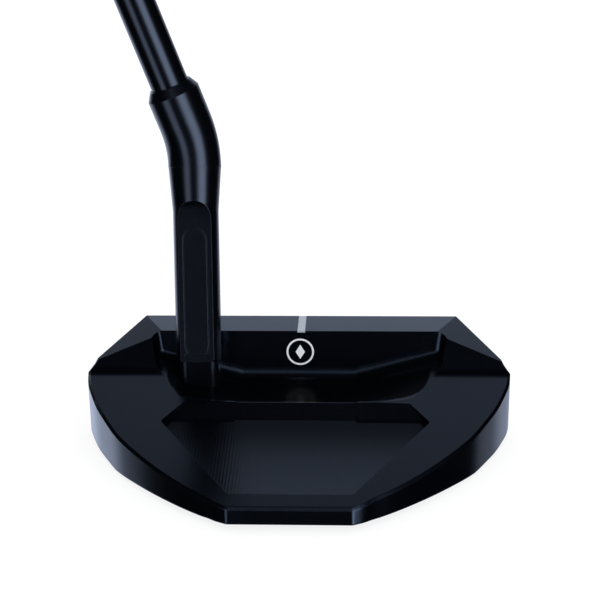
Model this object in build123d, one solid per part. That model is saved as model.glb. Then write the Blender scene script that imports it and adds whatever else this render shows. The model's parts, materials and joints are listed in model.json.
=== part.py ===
from build123d import *
import math
import os

os.makedirs("parts", exist_ok=True)

# ---------------------------------------------------------------- driving dimensions (mm)
# Frame: +Y is the target direction (the face looks along +Y), +X is the toe, -X the heel, +Z up.
# The sole's flat lies on z = 0. Shapes are drawn with the topline's front edge near y = 0 and
# moved by FRAME_Y at the end, so the origin ends up under the middle of the sole's flat.
FRAME_Y = 25.0

FACE_H = 24.5            # height of the topline above the sole
FACE_Y = 0.5             # front edge of the topline
LOFT = 3.5               # face loft in degrees
TOP_BACK = -11.8         # rear edge of the topline, where the rear slope starts
CREASE_Y = -19.54        # where the rear slope runs into the flange
FLANGE_Z0 = 20.124       # flange plane: z = FLANGE_Z0 + FLANGE_K * y
FLANGE_K = 0.1918
CREASE_R = 5.0
REAR_Y = -72.2           # rear edge of the head
REAR_HALF = 14.5
RIM_CH = 0.6              # edge break between flange and skirt
SOLE_R = 0.45             # rounding of the skirt's lower edge; 0.6 and more fails where the ramps meet the skirt

# right half of the plan outline (x, y)
OUT_FRONT = (40.3, 2.5)
OUT_FACET = (53.1, -17.3)
OUT_TOE = (54.55, -18.9)
CORNER_X = 41.6          # front corner of the facet, on the topline
OUT_CURVE = [(53.75, -24.0), (52.4, -28.1), (50.2, -33.7), (47.2, -39.4), (43.4, -45.8), (38.9, -51.4),
             (34.6, -56.1), (30.5, -60.1), (26.5, -63.6), (22.6, -66.6), (18.8, -69.3)]

# cavity and rear pocket
CAV_TOP_Y = -10.3        # cavity back wall at topline height
WALL_DRAFT = 6.0
CAV_BASE_Z = 11.8        # wall meets floor here, between the creases
STRIP = 14.8             # half width of the flat middle strip
WING_K = 0.30            # rise of the wings at the back wall
CREST_Y = -31.6
CREST_Z = 13.85
CREST_WING = 0.016       # rise of the crest across the wings
VALLEY_Y = -37.0
VALLEY_Z = 11.42
POCKET_END_Y = -67.2
POCKET_END_DEPTH = 0.12
BASE_R = 3.0
SIDE_R = 2.6
PINCH = (28.2, -31.8)
POCKET_OUT = (33.2, -39.8)
POCKET_REAR = (14.5, -67.2)

# sight line and back mark
SIGHT_X = 0.57            # the sight line sits slightly towards the toe
MARK_X = 0.27
SIGHT_W = 2.0
SIGHT_DEPTH = 0.40
MARK_R = 3.62
MARK_LINE = 0.50
MARK_Z = 18.85
MARK_DEPTH = 0.35
FILL_UNDER = 0.03

# neck
LIE = 69.9
HOSEL_X90 = -32.55       # shaft axis at z = 90
NECK_Y = -3.5            # shaft axis behind the topline's front edge
NECK_FOOT = (-25.45, -19.6, 20.0)   # point of the stem axis at the shoulder
STEM_R = 5.82
HOSEL_R = 6.74
BEND_Z = 73.2            # where the stem axis and the shaft axis meet
SEAM_LEN = 5.95          # bend tangent length
FLARE = 11.7             # length of the cone under the seam
RIM_Z = 86.35            # hosel rim on the axis
RIM_CHAMFER_H = 2.3
RIM_TOP_R = 5.38
FLAT_N = 3.95
COVE_R = 7.0
FLAT_TOP_Z = 54.55
SHOULDER_CH = 0.5
GROOVE_W, GROOVE_DEPTH = 0.30, 0.22
POST_W, POST_D, POST_R = 10.4, 7.6, 2.3
POST_X = -25.4
POST_Y = -19.1
TENON_Z = 6.4
SOCKET_GAP = 0.04

# shaft, bond, grip
TIP_R = 4.8
TIP_BORE_R = 4.1
BUTT_R = 7.35
TIP_Z = 74.2
BOND_T = 0.10
CLUB_LENGTH = 864.0      # from the ground along the shaft axis to the butt
GRIP_LEN = 266.0
GRIP_WALL = 2.6
TAPE_T = 0.18

# sole weights and screws
WEIGHT_X, WEIGHT_Y = 36.5, -31.5
WEIGHT_R, WEIGHT_H = 9.4, 7.4
WEIGHT_RECESS = 0.35
SIDE_RAMP_X, SIDE_RAMP = 31.0, 4.2      # start and angle of the sole's heel and toe ramps
DIAG_RAMP_D, DIAG_RAMP = 57.0, 10.5     # the same for the rear corners, along slanting lines
DIAG_DIR = (0.64, 0.768)
REAR_CORNER_R = 1.5


def mir(shape):
    return mirror(shape, about=Plane.YZ)


def slab(p, n, size=400.0):
    """Half space beyond the plane through p with outward normal n, as a big block."""
    pl = Plane(origin=p, z_dir=n)
    return pl * Box(size, size, size, align=(Align.CENTER, Align.CENTER, Align.MIN))


def fz(y):
    return FLANGE_Z0 + FLANGE_K * y


# ---------------------------------------------------------------- head body
def outline():
    a = Line(OUT_FRONT, OUT_FACET)
    b = Line(OUT_FACET, OUT_TOE)
    c = Spline([OUT_TOE] + OUT_CURVE + [(REAR_HALF, REAR_Y)], tangents=[(-0.10, -1), (-1, -0.52)])
    d = Line((REAR_HALF, REAR_Y), (-REAR_HALF, REAR_Y))
    top = Line((-OUT_FRONT[0], OUT_FRONT[1]), OUT_FRONT)
    edges = [a, b, c, d, top] + [mirror(e, about=Plane.YZ) for e in (a, b, c)]
    return Face(Wire([e for s in edges for e in s.edges()]))


face2d = outline()
corner_pts = [(s * OUT_FACET[0], OUT_FACET[1]) for s in (1, -1)] + [(s * OUT_TOE[0], OUT_TOE[1]) for s in (1, -1)]
vs = [v for v in face2d.vertices() if any(abs(v.X - x) < 0.01 and abs(v.Y - y) < 0.01 for x, y in corner_pts)]
face2d = face2d.fillet_2d(0.5, vs)
vs = [v for v in face2d.vertices() if abs(abs(v.X) - REAR_HALF) < 0.01 and abs(v.Y - REAR_Y) < 0.01]
face2d = face2d.fillet_2d(REAR_CORNER_R, vs)
prism = extrude(face2d, amount=40, dir=(0, 0, 1))

prof = Polyline((2.5, 0), (2.5, FACE_H), (TOP_BACK, FACE_H), (CREASE_Y, fz(CREASE_Y)), (-80, fz(-80)), (-80, 0), close=True)
prof_face = (Plane.YZ * make_face(prof)).face()
crease_v = [v for v in prof_face.vertices() if abs(v.Y - CREASE_Y) < 0.01 and v.Z > 5]
prof_face = prof_face.fillet_2d(CREASE_R, crease_v)
side = extrude(prof_face, amount=70, both=True)
head = (prism & side).solid()

# face loft: the face leans back, so the leading edge is ahead of the topline
lo = math.radians(LOFT)
head = head - slab((0, FACE_Y, FACE_H), (0, math.cos(lo), math.sin(lo)))

# heel and toe facets
p1 = Vector(CORNER_X, FACE_Y, FACE_H)
p2 = Vector(35.4, TOP_BACK, FACE_H)
p3 = Vector(OUT_FACET[0], OUT_FACET[1], FACE_H - (FACE_H - fz(CREASE_Y)) / (TOP_BACK - CREASE_Y) * (TOP_BACK - OUT_FACET[1]))
nf = (p3 - p1).cross(p2 - p1)
nf = nf if nf.Z > 0 else nf * -1
facet = slab(p1, nf)
head = head - facet - mir(facet)

# sole camber: ramps to the rear, heel, toe and to the leading edge
ramps = [((0, -49, 0), (0, -math.sin(math.radians(4.6)), -math.cos(math.radians(4.6)))),
         ((0, -5, 0), (0, math.sin(math.radians(5.0)), -math.cos(math.radians(5.0)))),
         ]
sr, dr = math.radians(SIDE_RAMP), math.radians(DIAG_RAMP)
qx, qy = DIAG_DIR
for s in (1, -1):
    ramps.append(((s * SIDE_RAMP_X, 0, 0), (s * math.sin(sr), 0, -math.cos(sr))))
    ramps.append(((s * DIAG_RAMP_D * qx, -DIAG_RAMP_D * qy, 0), (s * qx * math.sin(dr), -qy * math.sin(dr), -math.cos(dr))))
for p, n in ramps:
    head = head - slab(p, n)
head = head.solid()

# edge break along the skirt's top edge, then a softened sole edge
rim = [e for e in head.edges() if e.position_at(0.5).Y < -21.5 and abs(e.position_at(0.5).Z - fz(e.position_at(0.5).Y)) < 0.05 and e.length > 0.2]
head = head.chamfer(RIM_CH, None, rim).solid()
skirt = [f for f in head.faces() if abs(f.normal_at(f.center()).Z) < 0.05 and f.center().Y < -0.5]
low = [e for f in skirt for e in f.edges() if max(e.position_at(u).Z for u in (0.02, 0.5, 0.98)) < 3.4]
low = [e for e in low if e.position_at(0.5).Y < -3.0]
head = head.fillet(SOLE_R, low).solid()
if not head.is_valid:
    raise ValueError("the sole edge rounding failed")
print("sole edge radius", SOLE_R)
print("outer", head.is_valid, len(rim), len(low))


# cavity and pocket cutter: ruled through four sections
def section(x):
    ax = abs(x)
    up = max(0.0, ax - STRIP)
    t = math.tan(math.radians(WALL_DRAFT))
    wall_z = CAV_BASE_Z + WING_K * up
    wall_y = CAV_TOP_Y - (FACE_H - wall_z) * t
    top_z = 34.0
    top_y = CAV_TOP_Y + (top_z - FACE_H) * t
    crest_z = CREST_Z + CREST_WING * up
    k = (CREST_Z - VALLEY_Z) / (CREST_Y - VALLEY_Y)
    if ax > STRIP + 0.01:
        crest_z += 0.16
    # pocket floor: shallow arc
    end_z = fz(POCKET_END_Y) - POCKET_END_DEPTH
    y0, z0 = VALLEY_Y, VALLEY_Z
    run = y0 - POCKET_END_Y
    mean = (z0 - end_z) / run
    bend = 0.135

    def floor(y):
        u = (y0 - y)
        s0 = mean + bend / 2
        return z0 - (s0 * u - bend * u * u / (2 * run))

    vy = VALLEY_Y if ax <= STRIP + 0.01 else VALLEY_Y - 0.85
    vz = floor(vy)
    ym = (vy + POCKET_END_Y - 2) / 2
    ye = POCKET_END_Y - 3.0
    # wall/floor corner rounding
    cy, cz = wall_y, wall_z
    w = Vector(top_y - cy, top_z - cz, 0).normalized()
    f = Vector(CREST_Y - cy, crest_z - cz, 0).normalized()
    half = math.acos(max(-1, min(1, w.dot(f)))) / 2
    dist = BASE_R / math.tan(half)
    a = (cy + w.X * dist, cz + w.Y * dist)
    b = (cy + f.X * dist, cz + f.Y * dist)
    bis = (w + f).normalized()
    cc = (cy + bis.X * BASE_R / math.sin(half), cz + bis.Y * BASE_R / math.sin(half))
    m = (cc[0] - bis.X * BASE_R, cc[1] - bis.Y * BASE_R)

    def P(q):
        return (x, q[0], q[1])

    e = [Line(P((top_y, top_z)), P(a)),
         ThreePointArc(P(a), P(m), P(b)),
         Line(P(b), P((CREST_Y, crest_z))),
         Line(P((CREST_Y, crest_z)), P((vy, vz))),
         ThreePointArc(P((vy, vz)), P((ym, floor(ym))), P((ye, floor(ye)))),
         Line(P((ye, floor(ye))), P((ye, top_z))),
         Line(P((ye, top_z)), P((top_y, top_z)))]
    return Face(Wire([q for s in e for q in s.edges()]))


xs = [-43.0, -STRIP - 0.6, -STRIP + 0.0, STRIP - 0.0, STRIP + 0.6, 43.0]
secs = [section(x) for x in xs]
cutter = loft(secs, ruled=True)
dx, dy = 6.8, 10.4
far = (42.0, PINCH[1] + (42.0 - PINCH[0]) / dx * dy)
plan = [(42.0, -2.0), far, PINCH, POCKET_OUT, POCKET_REAR]
plan = plan + [(-x, y) for x, y in reversed(plan)]
plan_face = make_face(Polyline(*plan, close=True)).face()
pv = [v for v in plan_face.vertices() if abs(abs(v.X) - POCKET_REAR[0]) < 0.01 or abs(abs(v.X) - POCKET_OUT[0]) < 0.01]
plan_face = plan_face.fillet_2d(1.3, pv)
cutter = cutter & (Pos(0, 0, 2) * extrude(plan_face, amount=30, dir=(0, 0, 1)))
# cavity side walls
sd = math.radians(WALL_DRAFT + 1.0)
ang = math.radians(7.5)
nside = Vector(math.cos(ang) * math.cos(sd), -math.sin(ang) * math.cos(sd), -math.sin(sd))
side_slab = slab((38.55, -12.4, 23.0), nside)
front_only = Pos(0, -20.6 + 30, 20) * Box(200, 60, 60)
side_slab = side_slab & front_only
cutter = (cutter - side_slab - mir(side_slab)).solid()
print("cutter", cutter.is_valid, round(cutter.volume))


def on_side(e):
    n = Vector(nside.X, nside.Y, nside.Z)
    return all(abs((e.position_at(q) - Vector(38.55, -12.4, 23.0)).dot(n)) < 0.02 for q in (0.1, 0.5, 0.9))


half = (cutter - slab((0, 0, 0), (-1, 0, 0))).solid()
pick = [e for e in half.edges() if on_side(e) and e.position_at(0.5).Z < 33 and -20.4 < e.position_at(0.5).Y < CAV_TOP_Y + 0.9]
half = half.fillet(SIDE_R, pick).solid()
cutter = (half + mir(half)).solid()
print("cutter", cutter.is_valid, round(cutter.volume), len(pick))
crest = [e for e in cutter.edges() if abs(e.position_at(0.5).Y - CREST_Y) < 0.02 and abs(e.position_at(0.5).Z - CREST_Z) < 0.8 and e.length > 5]
try:
    c2 = cutter.fillet(0.8, crest)
    if c2.is_valid:
        cutter = c2
        print("crest fillet", len(crest))
except Exception as ex:
    print("crest fillet failed", str(ex)[:80])
head = (head - cutter).solid()
print("head", head.is_valid, round(head.volume))

# sight line groove and its paint
sight_cut = Pos(SIGHT_X, 0, FACE_H) * Box(SIGHT_W, 60, 2 * SIGHT_DEPTH)
sight_zone = sight_cut & head
sight_fill = sight_zone & (Pos(0, 0, FACE_H - FILL_UNDER - 5) * Box(300, 300, 10))
head = (head - sight_cut).solid()
sight_fill = Compound(sight_fill.solids()) if len(sight_fill.solids()) > 1 else sight_fill.solid()

# back mark on the cavity wall: ring and lozenge
tdr = math.radians(WALL_DRAFT)
wall_n = Vector(0, -math.cos(tdr), math.sin(tdr))
mark_y = CAV_TOP_Y - (FACE_H - MARK_Z) * math.tan(tdr)
mark_pl = Plane(origin=(MARK_X, mark_y, MARK_Z), x_dir=(1, 0, 0), z_dir=wall_n)
with BuildSketch() as sk:
    Circle(MARK_R)
    Circle(MARK_R - MARK_LINE, mode=Mode.SUBTRACT)
ring2d = sk.sketch
with BuildSketch() as sk2:
    with BuildLine():
        Polyline((0, 1.95), (1.25, 0), (0, -1.95), (-1.25, 0), close=True)
    make_face()
loz2d = sk2.sketch
mark_cut = [extrude(mark_pl * s, amount=-MARK_DEPTH) for s in (ring2d, loz2d)]
mark_fill = [extrude(Plane(origin=mark_pl.origin - wall_n * FILL_UNDER, x_dir=(1, 0, 0), z_dir=wall_n) * s,
                     amount=-(MARK_DEPTH - FILL_UNDER)) for s in (ring2d, loz2d)]
for c in mark_cut:
    head = head - c
head = head.solid()
back_mark = Compound([s for f in mark_fill for s in f.solids()])

# ---------------------------------------------------------------- neck
lie = math.radians(LIE)
hd = Vector(-math.cos(lie), 0, math.sin(lie))            # hosel direction
h90 = Vector(HOSEL_X90, NECK_Y, 90.0)
foot = Vector(*NECK_FOOT)
# the stem axis starts at the foot and meets the hosel axis in the bend
z_pi = BEND_Z
pi_pt = h90 + hd * ((z_pi - 90.0) / hd.Z)
sd_dir = (pi_pt - foot).normalized()
seam = pi_pt - sd_dir * SEAM_LEN
bend_end = pi_pt + hd * SEAM_LEN
rim_pt = h90 + hd * ((RIM_Z - 90.0) / hd.Z)

# local frame of the stem: Z along the axis, Y to the rear
xl = Vector(1, 0, 0) - sd_dir * sd_dir.X
xl = xl.normalized()
stem_pl = Plane(origin=foot, x_dir=xl, z_dir=sd_dir)      # local y = z x x
stem_len = (seam - foot).length
rear_sign = -1 if stem_pl.y_dir.Y > 0 else 1              # sign of local y that points to the rear
stem_prof = Polyline((0, 0), (STEM_R - SHOULDER_CH, 0), (STEM_R, SHOULDER_CH), (STEM_R, stem_len - FLARE),
                     (STEM_R + 0.03, stem_len - 0.93 * FLARE),
                     (HOSEL_R - 0.04, stem_len), (0, stem_len), close=True)
stem = revolve(Plane.XZ * make_face(stem_prof), Axis.Z, 360)
# rear flat with a cove at its top
flat_s = (FLAT_TOP_Z - foot.Z) / sd_dir.Z
cut_prof = Polyline((FLAT_N, -5), (FLAT_N, flat_s), (FLAT_N + COVE_R, flat_s + COVE_R), (30, flat_s + COVE_R), (30, -5), close=True)
e = [Line((FLAT_N, -5), (FLAT_N, flat_s)),
     ThreePointArc((FLAT_N, flat_s), (FLAT_N + COVE_R * (1 - math.cos(math.pi / 4)), flat_s + COVE_R * math.sin(math.pi / 4)),
                   (FLAT_N + COVE_R, flat_s + COVE_R)),
     Line((FLAT_N + COVE_R, flat_s + COVE_R), (30, flat_s + COVE_R)), Line((30, flat_s + COVE_R), (30, -5)), Line((30, -5), (FLAT_N, -5))]
cut_face = Face(Wire([q for s in e for q in s.edges()]))
flat_cut = extrude(Plane(origin=(0, 0, 0), x_dir=(0, rear_sign, 0), z_dir=(1, 0, 0)) * cut_face if rear_sign == 1 else
                   Plane(origin=(0, 0, 0), x_dir=(0, -1, 0), z_dir=(-1, 0, 0)) * cut_face, amount=20, both=True)
stem = stem - flat_cut
# engraved outline on the flat
gw = GROOVE_W
gl = flat_s - 1.9 - 1.0
outl = SlotOverall(gl, 6.3)
inn = SlotOverall(gl - 2 * gw, 6.3 - 2 * gw)
gpl = Plane(origin=(0, rear_sign * FLAT_N, 1.0 + gl / 2), x_dir=(0, 0, 1), z_dir=(0, rear_sign, 0))
groove = extrude(gpl * (outl - inn), amount=-GROOVE_DEPTH)
groove2 = extrude(gpl * (outl - inn), amount=0.1)
stem = stem - groove - groove2
stem = stem_pl.location * stem

# bend: circle swept along the arc between the two axes
axis_n = sd_dir.cross(hd).normalized()
ang_bend = math.acos(sd_dir.dot(hd))
r_bend = SEAM_LEN / math.tan(ang_bend / 2)
centre = seam + (hd - sd_dir * hd.dot(sd_dir)).normalized() * r_bend
mid = centre + (pi_pt - centre).normalized() * r_bend
arc = ThreePointArc(seam, mid, bend_end)
bend = sweep(Plane(origin=seam, z_dir=sd_dir) * Circle(HOSEL_R), path=arc)
hos_len = (rim_pt - bend_end).length
hos_pl = Plane(origin=bend_end, z_dir=hd)
hos_prof = Polyline((0, 0), (HOSEL_R, 0), (HOSEL_R, hos_len), (RIM_TOP_R, hos_len + RIM_CHAMFER_H), (0, hos_len + RIM_CHAMFER_H), close=True)
hosel = hos_pl.location * revolve(Plane.XZ * make_face(hos_prof), Axis.Z, 360)
# post and tenon
post_top = foot.Z + 3.0
post2d = RectangleRounded(POST_W, POST_D, POST_R)
post = Pos(POST_X, POST_Y, TENON_Z) * extrude(post2d, amount=post_top - TENON_Z)
neck = stem + bend + hosel + post
# shaft bore along the hosel axis
tip_pt = h90 + hd * ((TIP_Z - 90.0) / hd.Z)
bore_pl = Plane(origin=tip_pt - hd * 0.6, z_dir=hd)
BORE_R = TIP_R + BOND_T + 0.03
neck = neck - bore_pl.location * (Cylinder(BORE_R, 60, align=(Align.CENTER, Align.CENTER, Align.MIN)))
# tapped hole for the neck screw
SCREW_X, SCREW_Y = POST_X, POST_Y
neck = neck - Pos(SCREW_X, SCREW_Y, TENON_Z - 1) * Cylinder(2.52, 11.0, align=(Align.CENTER, Align.CENTER, Align.MIN))
neck = neck.solid()
print("neck", neck.is_valid, round(neck.volume))

# socket in the head and the neck screw
socket = Pos(SCREW_X, SCREW_Y, TENON_Z - 0.05) * extrude(RectangleRounded(POST_W + 2 * SOCKET_GAP, POST_D + 2 * SOCKET_GAP, POST_R + SOCKET_GAP), amount=30)
head = head - socket
head = head - Pos(SCREW_X, SCREW_Y, -1) * Cylinder(2.7, 12, align=(Align.CENTER, Align.CENTER, Align.MIN))
head = head - Pos(SCREW_X, SCREW_Y, -1) * Cylinder(4.6, 1 + 3.3, align=(Align.CENTER, Align.CENTER, Align.MIN))


def socket_screw(shank_r, head_r, head_h, length, z0, hex_af, hex_depth):
    """Cap screw standing on its head: head bottom at z0, shank upwards."""
    s = Pos(0, 0, z0) * Cylinder(head_r, head_h, align=(Align.CENTER, Align.CENTER, Align.MIN))
    s = s.chamfer(0.25, None, s.edges().filter_by(GeomType.CIRCLE).group_by(Axis.Z)[0])
    s = s + Pos(0, 0, z0 + head_h - 0.01) * Cylinder(shank_r, length + 0.01, align=(Align.CENTER, Align.CENTER, Align.MIN))
    s = s.chamfer(0.4, None, s.edges().filter_by(GeomType.CIRCLE).group_by(Axis.Z)[-1])
    s = s - Pos(0, 0, z0 - 1) * extrude(RegularPolygon(hex_af / math.sqrt(3), 6), amount=hex_depth + 1)
    return s.solid()


neck_screw = Pos(SCREW_X, SCREW_Y, 0) * socket_screw(2.45, 4.25, 2.75, 10.2, 0.52, 4.0, 1.9)

# ---------------------------------------------------------------- sole weights and their screws
weights, wscrews = {}, []
for name, s in (("heel_weight", -1), ("toe_weight", 1)):
    # local frame on the sole's side ramp: Z points into the head, square to the ramp
    z_sole = math.tan(sr) * (WEIGHT_X - SIDE_RAMP_X)
    wpl = Plane(origin=(s * WEIGHT_X, WEIGHT_Y, z_sole), x_dir=(math.cos(sr), 0, s * math.sin(sr)), z_dir=(-s * math.sin(sr), 0, math.cos(sr))).location
    z0 = WEIGHT_RECESS
    low_z = (Align.CENTER, Align.CENTER, Align.MIN)
    head = head - wpl * (Pos(0, 0, -2) * Cylinder(WEIGHT_R + 0.06, 2 + z0 + WEIGHT_H + 0.03, align=low_z))
    head = head - wpl * (Pos(0, 0, -2) * Cylinder(2.03, 2 + z0 + WEIGHT_H + 4.6, align=low_z))
    w = Pos(0, 0, z0) * Cylinder(WEIGHT_R, WEIGHT_H, align=low_z)
    w = w.chamfer(0.5, None, w.edges().filter_by(GeomType.CIRCLE).group_by(Axis.Z)[0])
    # shallow turned step ring, counterbore and clearance hole
    w = w - Pos(0, 0, z0 - 1) * (Cylinder(7.2, 1.25, align=low_z) - Cylinder(6.6, 1.25, align=low_z))
    w = w - Pos(0, 0, z0 - 1) * Cylinder(3.75, 1 + 2.6, align=low_z)
    w = w - Pos(0, 0, z0 - 1) * Cylinder(2.15, 20, align=low_z)
    weights[name] = (wpl * w.solid()).solid()
    wscrews.append((wpl * socket_screw(1.95, 3.45, 2.2, 8.4, z0 + 0.38, 3.0, 1.5)).solid())
head = head.solid()
print("head final", head.is_valid, round(head.volume))

# ---------------------------------------------------------------- shaft, bond
t_ground = 0.0
ground = h90 + hd * ((0 - 90.0) / hd.Z)
butt_t = CLUB_LENGTH
tip_t = (tip_pt - ground).length
L = butt_t - 5.0 - tip_t
# stepped profile: parallel tip, small steps up to the butt, parallel butt
steps = []
n_steps = 10
z_a, z_b = 300.0, 500.0
pts = [(TIP_BORE_R, 0), (TIP_R - 0.25, 0), (TIP_R, 0.35), (TIP_R, z_a)]
for i in range(1, n_steps + 1):
    r = TIP_R + (BUTT_R - TIP_R) * i / n_steps
    z = z_a + (z_b - z_a) * (i - 1) / (n_steps - 1)
    pts.append((r, z + 1.5))
    if i < n_steps:
        pts.append((r, z_a + (z_b - z_a) * i / (n_steps - 1)))
pts.append((BUTT_R, L))
pts.append((BUTT_R - 0.6, L))
pts.append((BUTT_R - 0.6, z_b + 6))
pts.append((TIP_BORE_R, z_a - 6))
shaft_pl = Plane(origin=tip_pt, z_dir=hd)
shaft_body = revolve(Plane.XZ * make_face(Polyline(*pts, close=True)), Axis.Z, 360)
shaft = (shaft_pl.location * shaft_body).solid()
bond_len = (rim_pt - tip_pt).length + RIM_CHAMFER_H - 0.5
bond = Cylinder(TIP_R + BOND_T, bond_len, align=(Align.CENTER, Align.CENTER, Align.MIN)) - Cylinder(TIP_R + 0.02, bond_len, align=(Align.CENTER, Align.CENTER, Align.MIN))
bond = (shaft_pl.location * bond).solid()
print("shaft", shaft.is_valid, "bond", bond.is_valid)

# ---------------------------------------------------------------- grip, tape, end cap
# local frame: Z up the shaft, X away from the golfer (the thumb flat faces +X)
gx = (Vector(1, 0, 0) - hd * hd.X).normalized()
grip_pl = Plane(origin=ground + hd * (butt_t - GRIP_LEN), x_dir=gx, z_dir=hd)
BORE_G = BUTT_R + TAPE_T + 0.10


def grip_section(z, rx_back, rx_flat, ry, power):
    """Closed section: flat towards +X at rx_flat, rounded back."""
    ptsg = []
    n = 28
    for i in range(n):
        a = 2 * math.pi * i / n
        c, s = math.cos(a), math.sin(a)
        r = (abs(c) ** power + abs(s) ** power) ** (-1.0 / power)
        x = r * c * (rx_flat if c > 0 else rx_back)
        y = r * s * ry
        ptsg.append((x, y, z))
    return Face(Wire([q for q in Spline(*ptsg, periodic=True).edges()]))


secs = [grip_section(0, 9.2, 9.0, 9.4, 2.0),
        grip_section(10, 10.0, 9.5, 10.4, 2.25),
        grip_section(60, 11.3, 10.0, 11.6, 2.7),
        grip_section(130, 13.0, 10.6, 12.8, 3.0),
        grip_section(190, 15.2, 11.0, 13.6, 3.0),
        grip_section(235, 16.6, 11.3, 14.2, 2.9),
        grip_section(GRIP_LEN - 4, 15.8, 11.4, 14.2, 2.7)]
grip_body = loft(secs)
grip_body = grip_body - Pos(0, 0, -1) * Cylinder(BORE_G, GRIP_LEN + 10, align=(Align.CENTER, Align.CENTER, Align.MIN))
grip = (grip_pl.location * grip_body.solid()).solid()
# butt cap: plug in the end with a vent hole
cap = loft([grip_section(GRIP_LEN - 3.97, 15.8, 11.4, 14.2, 2.7), grip_section(GRIP_LEN - 1.2, 15.6, 11.2, 14.0, 2.7)])
cap = cap + loft([grip_section(GRIP_LEN - 1.2, 15.6, 11.2, 14.0, 2.7), grip_section(GRIP_LEN, 13.9, 9.6, 12.4, 2.7)])
cap = cap - Pos(0, 0, GRIP_LEN - 20) * Cylinder(1.0, 40, align=(Align.CENTER, Align.CENTER, Align.MIN))
cap = (grip_pl.location * cap.solid()).solid()
tape_len = GRIP_LEN - 12
tape = Pos(0, 0, 4) * (Cylinder(BUTT_R + TAPE_T, tape_len, align=(Align.CENTER, Align.CENTER, Align.MIN))
                       - Cylinder(BUTT_R + 0.03, tape_len, align=(Align.CENTER, Align.CENTER, Align.MIN)))
tape = (grip_pl.location * tape.solid()).solid()
print("grip", grip.is_valid, round(grip.volume), "cap", cap.is_valid, "tape", tape.is_valid)

# ---------------------------------------------------------------- export
nodes = {
    "head_body": head,
    "sight_line_fill": sight_fill,
    "back_mark_fill": back_mark,
    "neck": neck,
    "neck_screw": neck_screw,
    "heel_weight": weights["heel_weight"],
    "toe_weight": weights["toe_weight"],
    "weight_screws": Compound(wscrews),
    "shaft": shaft,
    "shaft_bond": bond,
    "grip": grip,
    "grip_tape": tape,
    "grip_end_cap": cap,
}
for name, shape in nodes.items():
    out = Pos(0, FRAME_Y, 0) * shape
    export_step(out, f"parts/{name}.step")
    bb = out.bounding_box()
    print(name, "solids", len(out.solids()), "vol", round(sum(s.volume for s in out.solids()), 1), "valid", all(s.is_valid for s in out.solids()),
          tuple(round(v, 1) for v in (bb.min.X, bb.min.Y, bb.min.Z, bb.max.X, bb.max.Y, bb.max.Z)))
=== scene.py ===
import bpy, json, math
from mathutils import Matrix, Vector


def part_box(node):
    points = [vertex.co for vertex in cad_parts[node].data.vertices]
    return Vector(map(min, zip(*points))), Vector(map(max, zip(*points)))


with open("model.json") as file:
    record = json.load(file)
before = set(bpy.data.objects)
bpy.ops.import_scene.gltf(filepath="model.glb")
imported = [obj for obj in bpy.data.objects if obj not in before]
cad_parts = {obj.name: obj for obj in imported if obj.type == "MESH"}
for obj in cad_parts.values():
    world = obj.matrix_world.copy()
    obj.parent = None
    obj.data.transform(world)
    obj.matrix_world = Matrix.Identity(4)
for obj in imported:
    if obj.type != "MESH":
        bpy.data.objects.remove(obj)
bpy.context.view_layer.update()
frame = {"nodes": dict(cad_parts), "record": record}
nodes = frame["nodes"]
scene = bpy.context.scene

MM = 0.001
FRAME_Y = 25.0          # the topline's front edge lies 25 mm in front of the row's origin


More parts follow.
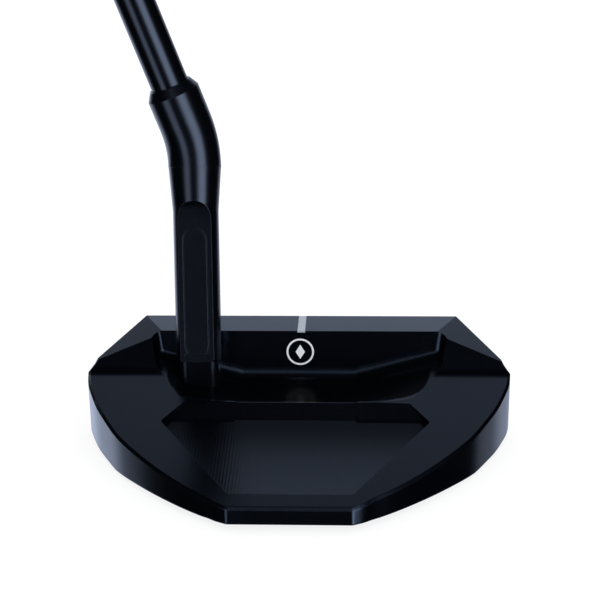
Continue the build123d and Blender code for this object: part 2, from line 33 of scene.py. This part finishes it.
# ---------------------------------------------------------------- node helpers
class Tree:
    """A small builder, so each material reads as a chain of steps."""

    def __init__(self, tree):
        self.t = tree
        self.t.nodes.clear()

    def new(self, kind, **props):
        n = self.t.nodes.new(kind)
        for k, v in props.items():
            setattr(n, k, v)
        return n

    def put(self, socket, value):
        if isinstance(value, bpy.types.NodeSocket):
            self.t.links.new(value, socket)
        elif value is not None:
            socket.default_value = value

    def math(self, op, a, b=None, c=None, clamp=False):
        n = self.new("ShaderNodeMath", operation=op, use_clamp=clamp)
        for i, v in enumerate((a, b, c)):
            self.put(n.inputs[i], v)
        return n.outputs[0]

    def vec(self, op, a, b=None, scale=None):
        n = self.new("ShaderNodeVectorMath", operation=op)
        self.put(n.inputs[0], a)
        if b is not None:
            self.put(n.inputs[1], b)
        if scale is not None:
            self.put(n.inputs["Scale"], scale)
        return n.outputs["Value" if op in ("DOT_PRODUCT", "LENGTH", "DISTANCE") else "Vector"]

    def xyz(self, v):
        n = self.new("ShaderNodeSeparateXYZ")
        self.put(n.inputs[0], v)
        return n.outputs[0], n.outputs[1], n.outputs[2]

    def combine(self, x, y, z):
        n = self.new("ShaderNodeCombineXYZ")
        for s, v in zip(n.inputs, (x, y, z)):
            self.put(s, v)
        return n.outputs[0]

    def step(self, v, lo, hi, a=0.0, b=1.0):
        """a below lo, b above hi, smooth between; lo may be above hi."""
        n = self.new("ShaderNodeMapRange", interpolation_type="SMOOTHSTEP")
        if lo > hi:
            lo, hi, a, b = hi, lo, b, a
        self.put(n.inputs["Value"], v)
        for k, x in zip(("From Min", "From Max", "To Min", "To Max"), (lo, hi, a, b)):
            n.inputs[k].default_value = x
        return n.outputs["Result"]

    def ramp(self, v, stops, mode="LINEAR"):
        n = self.new("ShaderNodeValToRGB")
        n.color_ramp.interpolation = mode
        e = n.color_ramp.elements
        while len(e) < len(stops):
            e.new(0.5)
        for el, (p, c) in zip(e, stops):
            el.position = p
            el.color = (c, c, c, 1) if isinstance(c, (int, float)) else (*c, 1)
        self.put(n.inputs[0], v)
        return n.outputs["Color"]

    def noise(self, v, scale, detail=3.0, rough=0.55, out="Fac", dim="3D"):
        n = self.new("ShaderNodeTexNoise", noise_dimensions=dim)
        self.put(n.inputs["Vector"], v)
        n.inputs["Scale"].default_value = scale
        n.inputs["Detail"].default_value = detail
        n.inputs["Roughness"].default_value = rough
        return n.outputs[out]

    def mix(self, f, a, b):
        n = self.new("ShaderNodeMix", data_type="RGBA")
        self.put(n.inputs["Factor"], f)
        self.put(n.inputs["A"], a)
        self.put(n.inputs["B"], b)
        return n.outputs["Result"]

    def bump(self, height, distance, strength=1.0, normal=None):
        n = self.new("ShaderNodeBump")
        n.inputs["Strength"].default_value = strength
        n.inputs["Distance"].default_value = distance
        self.put(n.inputs["Height"], height)
        if normal is not None:
            self.put(n.inputs["Normal"], normal)
        return n.outputs["Normal"]


def material(name):
    m = bpy.data.materials.new(name)
    m.use_nodes = True
    t = Tree(m.node_tree)
    out = t.new("ShaderNodeOutputMaterial")
    bsdf = t.new("ShaderNodeBsdfPrincipled")
    t.t.links.new(bsdf.outputs[0], out.inputs["Surface"])
    mm = t.vec("SCALE", t.new("ShaderNodeTexCoord").outputs["Object"], scale=1000.0)
    return m, t, bsdf, mm


def rgb(*c):
    return (*c, 1.0)


def rounded(t, radius_mm):
    n = t.new("ShaderNodeBevel", samples=6)
    if isinstance(radius_mm, bpy.types.NodeSocket):
        t.put(n.inputs["Radius"], t.math("MULTIPLY", radius_mm, MM))
    else:
        n.inputs["Radius"].default_value = radius_mm * MM
    return n.outputs["Normal"]


# ---------------------------------------------------------------- materials
def head_material():
    m, t, s, mm = material("black_anodised_milled")
    x, y, z = t.xyz(mm)
    nx, ny, nz = t.xyz(t.new("ShaderNodeNewGeometry").outputs["True Normal"])
    # how far a point lies under the plane of the rear flange: the milled cavity and pocket
    plane = t.math("MULTIPLY_ADD", y, 0.1918, 20.124 - 0.1918 * FRAME_Y)
    under = t.math("SUBTRACT", plane, z)
    cut = t.math("MULTIPLY", t.step(under, 0.06, 0.16), t.step(nz, 0.25, 0.45))
    up = t.step(nz, 0.80, 0.93)
    down = t.step(nz, -0.80, -0.93)
    face = t.math("MULTIPLY", t.step(ny, 0.90, 0.97), t.step(y, 22.0, 23.5))

    # ball-end milling passes, 0.8 mm apart, along Y in the cavity and the pocket
    wob = t.noise(t.vec("MULTIPLY", mm, (0.05, 0.35, 0.05)), 1.0, 2.0)
    ph = t.math("MULTIPLY_ADD", x, 2 * math.pi / 0.8, t.math("MULTIPLY", wob, 0.9))
    passes = t.math("SINE", ph)
    depth = t.noise(t.combine(t.math("MULTIPLY", x, 0.32), 0.0, 0.0), 1.0, 3.0, 0.6)
    passes = t.math("MULTIPLY", passes, t.math("MULTIPLY_ADD", depth, 1.2, 0.25))
    # finer end-mill lines inside each pass
    fine = t.noise(t.vec("MULTIPLY", mm, (9.0, 0.35, 9.0)), 1.0, 2.0)
    mill = t.math("ADD", t.math("MULTIPLY", passes, 0.5), t.math("MULTIPLY", fine, 0.55))
    mill = t.math("MULTIPLY", mill, cut)
    # the step between the floor and the pocket shows its passes most, and so does the heel side of the pocket
    yh = t.math("SUBTRACT", y, FRAME_Y)
    step_zone = t.math("MULTIPLY", t.step(yh, -37.6, -36.8), t.step(yh, -31.0, -32.0))
    heel_zone = t.math("MULTIPLY", t.step(x, -8.0, -16.0), t.step(yh, -36.5, -38.0))
    mid = t.math("MULTIPLY", t.step(x, -17.0, -13.0), t.step(x, 16.0, 11.0))
    gain = t.math("ADD", t.math("MULTIPLY", step_zone, t.math("MULTIPLY_ADD", mid, 2.2, 1.2)), t.math("MULTIPLY", heel_zone, 0.8))
    mill = t.math("MULTIPLY", mill, t.math("ADD", gain, 0.8))

    # face: fly-cut arcs; sole: long straight passes
    r = t.math("SQRT", t.math("ADD", t.math("POWER", t.math("SUBTRACT", x, 12.0), 2.0),
                              t.math("POWER", t.math("ADD", z, 62.0), 2.0)))
    arcs = t.math("MULTIPLY", t.math("SINE", t.math("MULTIPLY", r, 2 * math.pi / 0.55)), face)
    sole = t.noise(t.vec("MULTIPLY", mm, (0.25, 6.5, 0.25)), 1.0, 2.5)
    sole = t.math("MULTIPLY", sole, down)

    # blasted and anodised skin
    grain = t.noise(mm, 3.6, 2.5, 0.6)
    soft = t.noise(mm, 0.22, 3.0, 0.5)

    # look setting: a rounder highlight on the rear edge, tuned to its brightness
    hand = t.math("MULTIPLY", t.step(y, -46.0, -46.5), t.step(z, 3.6, 4.2))
    base = rounded(t, t.math("MULTIPLY_ADD", hand, 0.55, 0.10))
    n1 = t.bump(mill, 0.0060 * MM, 1.0, base)
    n2 = t.bump(arcs, 0.0060 * MM, 1.0, n1)
    n3 = t.bump(sole, 0.0080 * MM, 1.0, n2)
    n4 = t.bump(grain, 0.0013 * MM, 1.0, n3)
    t.put(s.inputs["Normal"], n4)

    tone = t.math("MULTIPLY_ADD", grain, 0.5, t.math("MULTIPLY", soft, 0.5))
    col = t.mix(t.math("MULTIPLY", tone, 1.0, clamp=True), rgb(0.0002, 0.0003, 0.0006), rgb(0.0007, 0.0009, 0.0015))
    # look setting, painted highlight: the colour of the sharp edges is made very slightly brighter
    edge = t.vec("DOT_PRODUCT", base, t.new("ShaderNodeNewGeometry").outputs["Normal"])
    painted_edge_highlight = t.step(edge, 0.985, 0.90)
    col = t.mix(t.math("MULTIPLY", painted_edge_highlight, 0.5), col, rgb(0.020, 0.022, 0.026))
    t.put(s.inputs["Base Color"], col)
    rough = t.math("MULTIPLY_ADD", grain, 0.06, t.math("MULTIPLY_ADD", soft, 0.04, 0.150))
    rough = t.math("MULTIPLY_ADD", cut, 0.06, rough)
    t.put(s.inputs["Roughness"], rough)
    # look setting: less sheen on the cavity floor and the front of the pocket, tuned to their brightness; the cause isn't known
    ym = t.math("SUBTRACT", y, FRAME_Y)
    floor_z = t.math("MULTIPLY", t.step(ym, -15.5, -17.5), t.step(ym, -31.8, -30.6))
    dull = t.math("MULTIPLY", t.math("MULTIPLY", floor_z, cut), 0.96)
    pocket = t.math("MULTIPLY", t.step(ym, -36.4, -37.4), t.step(ym, -56.0, -39.0))
    dull = t.math("ADD", dull, t.math("MULTIPLY", t.math("MULTIPLY", pocket, cut), 0.74))
    level = t.math("MULTIPLY_ADD", dull, -0.5, 0.5)
    ribs = t.math("MULTIPLY", t.math("MULTIPLY", passes, cut),
                  t.math("MULTIPLY_ADD", step_zone, 0.42, t.math("MULTIPLY_ADD", heel_zone, 0.16, 0.03)))
    level = t.math("MULTIPLY", level, t.math("ADD", ribs, 1.0))
    t.put(s.inputs["Specular IOR Level"], level)
    s.inputs["IOR"].default_value = 1.5
    s.inputs["Specular Tint"].default_value = rgb(0.64, 0.82, 1.0)
    return m


def neck_material():
    m, t, s, mm = material("satin_black_steel")
    grain = t.noise(mm, 3.6, 2.5, 0.6)
    soft = t.noise(mm, 0.18, 2.0)
    turned = t.noise(t.vec("MULTIPLY", mm, (0.3, 0.3, 7.0)), 1.0, 2.0)
    base = rounded(t, 0.12)
    n = t.bump(turned, 0.0008 * MM, 1.0, base)
    n = t.bump(grain, 0.0016 * MM, 1.0, n)
    t.put(s.inputs["Normal"], n)
    col = t.mix(grain, rgb(0.0003, 0.0004, 0.0007), rgb(0.0008, 0.0010, 0.0016))
    # painted highlight: the colour of the sharp edges is made slightly brighter
    edge = t.vec("DOT_PRODUCT", base, t.new("ShaderNodeNewGeometry").outputs["Normal"])
    col = t.mix(t.math("MULTIPLY", t.step(edge, 0.985, 0.90), 0.5), col, rgb(0.020, 0.022, 0.025))
    t.put(s.inputs["Base Color"], col)
    t.put(s.inputs["Roughness"], t.math("MULTIPLY_ADD", grain, 0.06, t.math("MULTIPLY_ADD", soft, 0.03, 0.190)))
    s.inputs["IOR"].default_value = 1.5
    s.inputs["Specular Tint"].default_value = rgb(0.78, 0.86, 0.97)
    return m


def shaft_material():
    m, t, s, mm = material("gloss_black_shaft")
    peel = t.noise(mm, 0.9, 2.0)
    fine = t.noise(t.vec("MULTIPLY", mm, (6.0, 6.0, 0.5)), 1.0, 3.0)
    n = t.bump(peel, 0.003 * MM)
    n = t.bump(fine, 0.0009 * MM, 1.0, n)
    t.put(s.inputs["Normal"], n)
    t.put(s.inputs["Base Color"], t.mix(fine, rgb(0.0003, 0.0004, 0.0007), rgb(0.0008, 0.0010, 0.0015)))
    t.put(s.inputs["Roughness"], t.math("MULTIPLY_ADD", fine, 0.05, 0.205))
    s.inputs["IOR"].default_value = 1.5
    s.inputs["Specular Tint"].default_value = rgb(0.78, 0.86, 0.97)
    return m


def paint_material(name, dark, pale):
    m, t, s, mm = material(name)
    g = t.noise(mm, 3.5, 4.0)
    soft = t.noise(mm, 0.6, 2.0)
    t.put(s.inputs["Base Color"], t.mix(t.math("MULTIPLY_ADD", g, 0.5, t.math("MULTIPLY", soft, 0.5)),
                                        dark, pale))
    t.put(s.inputs["Normal"], t.bump(g, 0.006 * MM))
    t.put(s.inputs["Roughness"], t.math("MULTIPLY_ADD", g, 0.15, 0.42))
    return m


def screw_material():
    m, t, s, mm = material("black_oxide_screw")
    g = t.noise(mm, 9.0, 4.0)
    blot = t.noise(mm, 1.3, 3.0)
    base = rounded(t, 0.06)
    t.put(s.inputs["Normal"], t.bump(g, 0.003 * MM, 1.0, base))
    t.put(s.inputs["Base Color"], t.mix(blot, rgb(0.010, 0.010, 0.011), rgb(0.030, 0.029, 0.030)))
    t.put(s.inputs["Roughness"], t.math("MULTIPLY_ADD", g, 0.15, 0.30))
    s.inputs["Metallic"].default_value = 0.35
    return m


def weight_material(cx, cy):
    m, t, s, mm = material("turned_tungsten")
    x, y, z = t.xyz(mm)
    side = t.math("SIGN", x)
    dx = t.math("SUBTRACT", x, t.math("MULTIPLY", side, cx))
    dy = t.math("SUBTRACT", y, cy)
    r = t.math("SQRT", t.math("ADD", t.math("MULTIPLY", dx, dx), t.math("MULTIPLY", dy, dy)))
    rings = t.math("SINE", t.math("MULTIPLY_ADD", r, 2 * math.pi / 0.22, t.math("MULTIPLY", t.noise(mm, 0.8), 1.2)))
    lines = t.noise(t.combine(t.math("MULTIPLY", r, 9.0), 0.0, t.math("MULTIPLY", z, 9.0)), 1.0, 3.0)
    g = t.noise(mm, 8.0, 3.0)
    base = rounded(t, 0.08)
    n = t.bump(rings, 0.0016 * MM, 1.0, base)
    n = t.bump(lines, 0.003 * MM, 1.0, n)
    t.put(s.inputs["Normal"], n)
    t.put(s.inputs["Base Color"], t.mix(t.math("MULTIPLY_ADD", lines, 0.6, t.math("MULTIPLY", g, 0.4)),
                                        rgb(0.10, 0.103, 0.11), rgb(0.22, 0.225, 0.235)))
    t.put(s.inputs["Roughness"], t.math("MULTIPLY_ADD", g, 0.12, 0.28))
    s.inputs["Metallic"].default_value = 1.0
    return m


def grip_material(p0, axis):
    """Moulded rubber: fine pebble, with rows of small moulded dimples that follow the grip's length."""
    m, t, s, mm = material("moulded_rubber")
    rel = t.vec("SUBTRACT", mm, tuple(c * 1000 for c in p0))
    a = Vector(axis).normalized()
    side = Vector((0, 1, 0))
    flat = side.cross(a).normalized()
    u = t.vec("DOT_PRODUCT", rel, tuple(a))
    v = t.vec("DOT_PRODUCT", rel, tuple(side))
    w = t.vec("DOT_PRODUCT", rel, tuple(flat))
    ang = t.math("ARCTAN2", v, w)
    # small oval pits: 3.2 mm along, 24 round
    k = 24 / (2 * math.pi)
    cu = t.math("MULTIPLY", u, 1 / 3.2)
    row = t.math("MODULO", t.math("FLOOR", cu), 2.0)
    ca = t.math("ADD", t.math("MULTIPLY", ang, k), t.math("MULTIPLY", row, 0.5))
    fu = t.math("SUBTRACT", t.math("FRACT", cu), 0.5)
    fa = t.math("SUBTRACT", t.math("FRACT", ca), 0.5)
    d = t.math("SQRT", t.math("ADD", t.math("POWER", t.math("MULTIPLY", fu, 1.0), 2.0),
                              t.math("POWER", t.math("MULTIPLY", fa, 1.35), 2.0)))
    pit = t.step(d, 0.36, 0.24)
    along = t.math("MULTIPLY", t.step(u, -104.0, -100.0), t.step(u, 100.0, 96.0))
    pit = t.math("MULTIPLY", pit, along)
    pebble = t.new("ShaderNodeTexVoronoi")
    t.put(pebble.inputs["Vector"], mm)
    pebble.inputs["Scale"].default_value = 2.6
    peb = pebble.outputs["Distance"]
    g = t.noise(mm, 4.0, 4.0)
    n = t.bump(t.math("MULTIPLY", pit, -1.0), 0.22 * MM, 1.0)
    n = t.bump(peb, 0.03 * MM, 0.8, n)
    n = t.bump(g, 0.02 * MM, 0.7, n)
    t.put(s.inputs["Normal"], n)
    col = t.mix(g, rgb(0.010, 0.0102, 0.011), rgb(0.024, 0.0245, 0.026))
    # painted shade: the colour inside the pits is made darker
    col = t.mix(t.math("MULTIPLY", pit, 0.55), col, rgb(0.006, 0.006, 0.0065))
    t.put(s.inputs["Base Color"], col)
    t.put(s.inputs["Roughness"], t.math("MULTIPLY_ADD", g, 0.16, 0.56))
    return m


def cap_material():
    m, t, s, mm = material("moulded_cap")
    g = t.noise(mm, 5.0, 4.0)
    t.put(s.inputs["Normal"], t.bump(g, 0.012 * MM, 1.0, rounded(t, 0.15)))
    t.put(s.inputs["Base Color"], t.mix(g, rgb(0.011, 0.011, 0.0115), rgb(0.022, 0.022, 0.0235)))
    t.put(s.inputs["Roughness"], t.math("MULTIPLY_ADD", g, 0.14, 0.38))
    return m


def tape_material():
    m, t, s, mm = material("grip_tape_paper")
    fibre = t.noise(t.vec("MULTIPLY", mm, (2.0, 2.0, 0.6)), 1.0, 5.0, 0.7)
    t.put(s.inputs["Base Color"], t.mix(fibre, rgb(0.58, 0.54, 0.44), rgb(0.76, 0.73, 0.63)))
    t.put(s.inputs["Normal"], t.bump(fibre, 0.02 * MM))
    t.put(s.inputs["Roughness"], t.math("MULTIPLY_ADD", fibre, 0.2, 0.6))
    return m


def epoxy_material():
    m, t, s, mm = material("cured_epoxy")
    blob = t.noise(mm, 0.9, 3.0)
    t.put(s.inputs["Base Color"], t.mix(blob, rgb(0.26, 0.21, 0.12), rgb(0.42, 0.36, 0.24)))
    t.put(s.inputs["Normal"], t.bump(blob, 0.03 * MM))
    t.put(s.inputs["Roughness"], t.math("MULTIPLY_ADD", blob, 0.15, 0.25))
    return m


def dress(node, mat):
    o = nodes[node]
    if not o.material_slots:
        o.data.materials.append(mat)
    for slot in o.material_slots:
        slot.material = mat


record = frame["record"]
grip_mount = next(k for k in record["mounts"] if k["name"] == "grip")
wlo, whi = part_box("toe_weight")
weight_c = (wlo + whi) / 2

head = head_material()
neck = neck_material()
shaft = shaft_material()
paint = paint_material("white_paint_fill", rgb(0.80, 0.81, 0.83), rgb(0.90, 0.91, 0.93))
sight_paint = paint_material("pale_paint_fill", rgb(0.33, 0.36, 0.40), rgb(0.40, 0.43, 0.47))
screw = screw_material()
weight = weight_material(weight_c.x * 1000, weight_c.y * 1000)

dress("head_body", head)
dress("neck", neck)
dress("shaft", shaft)
dress("sight_line_fill", sight_paint)
dress("back_mark_fill", paint)
dress("neck_screw", screw)
dress("weight_screws", screw)
dress("heel_weight", weight)
dress("toe_weight", weight)
dress("grip", grip_material(grip_mount["pos_m"], grip_mount["axis"]))
dress("grip_end_cap", cap_material())
dress("grip_tape", tape_material())
dress("shaft_bond", epoxy_material())


# ---------------------------------------------------------------- camera
right = Vector((0.99912, 0.03998, -0.01248))
back = -Vector((-0.04179, 0.93264, -0.35837))
up = back.cross(right).normalized()
right = up.cross(back).normalized()
back.normalize()
cam_data = bpy.data.cameras.new("camera")
cam_data.sensor_fit = "HORIZONTAL"
cam_data.sensor_width = 36.0
cam_data.lens = 1462.0 / 600.0 * 36.0
cam_data.shift_x = -0.5 / 600.0
cam_data.shift_y = 0.5 / 600.0
cam_data.clip_start = 0.01
cam_data.clip_end = 200.0
cam = bpy.data.objects.new("camera", cam_data)
scene.collection.objects.link(cam)
rot = Matrix((right, up, back)).transposed()
cam.matrix_world = Matrix.Translation((0.016357, -0.339512, 0.169172)) @ rot.to_4x4()
scene.camera = cam


# ---------------------------------------------------------------- stage
def plane(name, half, z):
    me = bpy.data.meshes.new(name)
    me.from_pydata([(-half, -half, z), (half, -half, z), (half, half, z), (-half, half, z)], [], [(0, 1, 2, 3)])
    o = bpy.data.objects.new(name, me)
    scene.collection.objects.link(o)
    return o


floor = plane("floor", 40.0, 0.0)
fm = bpy.data.materials.new("pale_floor")
fm.use_nodes = True
ft = Tree(fm.node_tree)
fo = ft.new("ShaderNodeOutputMaterial")
fb = ft.new("ShaderNodeBsdfPrincipled")
ft.put(fb.inputs["Base Color"], rgb(0.22, 0.22, 0.22))
fb.inputs["Roughness"].default_value = 0.9
fb.inputs["Specular IOR Level"].default_value = 0.0
fb.inputs["Emission Color"].default_value = rgb(1.0, 1.0, 1.0)
fb.inputs["Emission Strength"].default_value = 0.82
# from underneath the floor isn't there, so the sole can be looked at
clear = ft.new("ShaderNodeBsdfTransparent")
mixs = ft.new("ShaderNodeMixShader")
ft.put(mixs.inputs[0], ft.new("ShaderNodeNewGeometry").outputs["Backfacing"])
ft.put(mixs.inputs[1], fb.outputs[0])
ft.put(mixs.inputs[2], clear.outputs[0])
ft.put(fo.inputs["Surface"], mixs.outputs[0])
floor.data.materials.append(fm)
floor.visible_glossy = False

# a plain bright sweep round everything: it gives the diffuse light and the background, and reflections don't see it
dome_me = bpy.data.meshes.new("backdrop")
R, N, M_ = 60.0, 48, 24
vs, fs = [], []
for j in range(M_ + 1):
    e = math.pi * (j / M_ - 0.5)
    for i in range(N):
        a = 2 * math.pi * i / N
        vs.append((R * math.cos(e) * math.cos(a), R * math.cos(e) * math.sin(a), R * math.sin(e)))
for j in range(M_):
    for i in range(N):
        k = (i + 1) % N
        fs.append((j * N + i, (j + 1) * N + i, (j + 1) * N + k, j * N + k))
dome_me.from_pydata(vs, [], fs)
dome = bpy.data.objects.new("backdrop", dome_me)
scene.collection.objects.link(dome)
dm = bpy.data.materials.new("backdrop_white")
dm.use_nodes = True
dt = Tree(dm.node_tree)
do = dt.new("ShaderNodeOutputMaterial")
de = dt.new("ShaderNodeEmission")
de.inputs["Color"].default_value = rgb(1, 1, 1)
de.inputs["Strength"].default_value = 1.0
dt.put(do.inputs["Surface"], de.outputs[0])
dome_me.materials.append(dm)
for flag in ("visible_glossy", "visible_transmission", "visible_volume_scatter", "visible_shadow"):
    setattr(dome, flag, False)

# ---------------------------------------------------------------- soft studio light
# only reflections see this gradient; its shape is tuned to the faces' brightness, and isn't one physical set-up with the sweep
world = bpy.data.worlds.new("studio")
scene.world = world
world.use_nodes = True
wt = Tree(world.node_tree)
wo = wt.new("ShaderNodeOutputWorld")
bg = wt.new("ShaderNodeBackground")
d = wt.vec("NORMALIZE", wt.new("ShaderNodeTexCoord").outputs["Generated"])
dx, dy, dz = wt.xyz(d)
DEG = 180 / math.pi
el = wt.math("MULTIPLY", wt.math("ARCSINE", dz), DEG)
az = wt.math("MULTIPLY", wt.math("ABSOLUTE", wt.math("ARCTAN2", dx, dy)), DEG)     # 0 towards the target, 180 towards the camera
# a broad bright sheet beyond the head: it fades upwards, and reaches further round the sides near the ground
sheet = wt.ramp(wt.math("MULTIPLY_ADD", el, 1 / 180, 0.5),
                [(0.0, 0.34), (0.40, 0.42), (0.47, 0.50), (0.52, 0.68), (0.615, 0.69), (0.67, 0.50), (0.72, 0.37), (0.77, 0.325), (0.83, 0.145), (0.875, 0.03), (0.92, 0.012)])
left = wt.math("LESS_THAN", dx, 0.0)
low = wt.step(el, -8.0, -22.0)
reach = wt.math("MULTIPLY_ADD", low, 24.0, wt.math("MULTIPLY_ADD", left, 19.0, 25.0))
reach = wt.math("MINIMUM", reach, 64.0)
sheet = wt.math("MULTIPLY", sheet, wt.step(wt.math("SUBTRACT", az, reach), 18.0, -10.0))
# towards the sides it is brighter near the ground and darker higher up, more so at the left
high = wt.step(el, 10.0, 28.0)
side_l = wt.math("MULTIPLY_ADD", high, -2.35, 2.65)
side_r = wt.math("MULTIPLY_ADD", high, -0.65, 1.62)
side = wt.math("ADD", wt.math("MULTIPLY", left, side_l), wt.math("MULTIPLY", wt.math("SUBTRACT", 1.0, left), side_r))
ws = wt.step(az, 10.0, 28.0)
sheet = wt.math("MULTIPLY", sheet, wt.math("ADD", wt.math("SUBTRACT", 1.0, ws), wt.math("MULTIPLY", ws, side)))
# two tall soft boxes at the camera's left and right
saz = wt.math("MULTIPLY", wt.math("ARCTAN2", dx, dy), DEG)
boxr = wt.math("MULTIPLY", wt.step(wt.math("ABSOLUTE", wt.math("SUBTRACT", saz, 142.0)), 26.0, 8.0),
               wt.math("MULTIPLY", wt.step(el, -45.0, -30.0), wt.step(el, 58.0, 30.0)))
boxl = wt.math("MULTIPLY", wt.math("MULTIPLY", wt.step(saz, -168.0, -158.0), wt.step(saz, -132.0, -146.0)),
               wt.math("MULTIPLY", wt.step(el, -45.0, -30.0), wt.step(el, 40.0, 15.0)))
# one soft box over the camera
arc = wt.math("MULTIPLY", wt.math("ARCTAN2", dz, dy), DEG)
top = wt.math("MULTIPLY", wt.step(wt.math("ABSOLUTE", wt.math("SUBTRACT", arc, 137.0)), 14.0, 6.0),
              wt.step(wt.math("ABSOLUTE", dx), 0.48, 0.22))
# the room behind the camera: dark, a little lighter just over the horizon
room = wt.math("MULTIPLY", wt.step(az, 140.0, 165.0),
               wt.math("MULTIPLY_ADD", wt.math("MULTIPLY", wt.step(el, 0.0, 9.0), wt.step(el, 32.0, 16.0)), 0.01, 0.016))
light = wt.math("ADD", sheet, wt.math("MULTIPLY", boxr, 3.8))
light = wt.math("ADD", light, wt.math("MULTIPLY", boxl, 1.75))
light = wt.math("ADD", light, room)
light = wt.math("ADD", light, wt.math("MULTIPLY", top, 0.48))
light = wt.math("ADD", light, 0.004)
tint = wt.vec("SCALE", (0.88, 1.0, 1.30), scale=light)
wt.put(bg.inputs["Color"], tint)
bg.inputs["Strength"].default_value = 1.0
wt.put(wo.inputs["Surface"], bg.outputs[0])

scene.view_settings.view_transform = "Standard"
scene.view_settings.look = "None"
scene.view_settings.exposure = 0.0
scene.view_settings.gamma = 1.0
